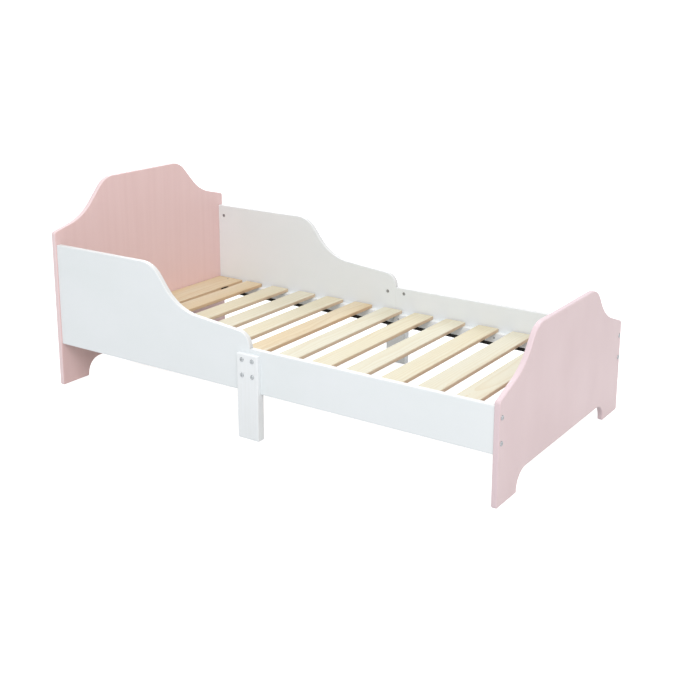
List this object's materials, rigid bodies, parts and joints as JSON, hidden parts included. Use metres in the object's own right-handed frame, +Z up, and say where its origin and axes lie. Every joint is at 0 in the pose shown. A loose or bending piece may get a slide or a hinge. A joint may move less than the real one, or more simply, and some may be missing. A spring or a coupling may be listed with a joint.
{
  "type": "toddler bed",
  "caption": "Low toddler bed with curved head and foot boards, stepped side guards, middle legs and a slatted base joined by webbing.",
  "frame": {"origin": "on the floor, under the middle of the bed", "axes": "+X from the head end to the foot end, +Y from the front side to the rear side, +Z up"},
  "size_m": [1.434, 0.759, 0.594],
  "materials": {
    "rose_board": "satin paint on fibreboard",
    "white_panel": "satin paint on fibreboard",
    "white_leg": "satin paint on solid wood",
    "white_batten": "satin paint on solid wood",
    "pine_slat": "planed, unfinished",
    "black_webbing": "woven strap",
    "bolt_steel": "zinc plated",
    "zinc_steel": "zinc plated",
    "screw_steel": "zinc plated, dull",
    "beech_dowel": "fluted, unfinished"
  },
  "bodies": {
    "root": {"headboard": "rose_board", "footboard": "rose_board", "guard_panel_front": "white_panel", "guard_panel_rear": "white_panel", "foot_rail_front": "white_panel", "foot_rail_rear": "white_panel", "middle_leg_front": "white_leg", "middle_leg_rear": "white_leg", "cleat_guard_front": "white_batten", "cleat_guard_rear": "white_batten", "cleat_rail_front": "white_batten", "cleat_rail_rear": "white_batten", "slat_01": "pine_slat", "slat_02": "pine_slat", "slat_03": "pine_slat", "slat_04": "pine_slat", "slat_05": "pine_slat", "slat_06": "pine_slat", "slat_07": "pine_slat", "slat_08": "pine_slat", "slat_09": "pine_slat", "slat_10": "pine_slat", "slat_11": "pine_slat", "slat_12": "pine_slat", "slat_13": "pine_slat", "webbing_front": "black_webbing", "webbing_rear": "black_webbing", "webbing_staples": "zinc_steel", "headboard_bolts": "bolt_steel", "footboard_bolts": "bolt_steel", "leg_bolts_front": "bolt_steel", "leg_bolts_rear": "bolt_steel", "barrel_nuts_head": "zinc_steel", "barrel_nuts_foot": "zinc_steel", "barrel_nuts_joint": "zinc_steel", "joint_rods": "zinc_steel", "insert_nuts_front": "zinc_steel", "insert_nuts_rear": "zinc_steel", "wooden_dowels": "beech_dowel", "cleat_screws_front": "screw_steel", "cleat_screws_rear": "screw_steel", "slat_screws": "screw_steel"}
  },
  "joints": []
}
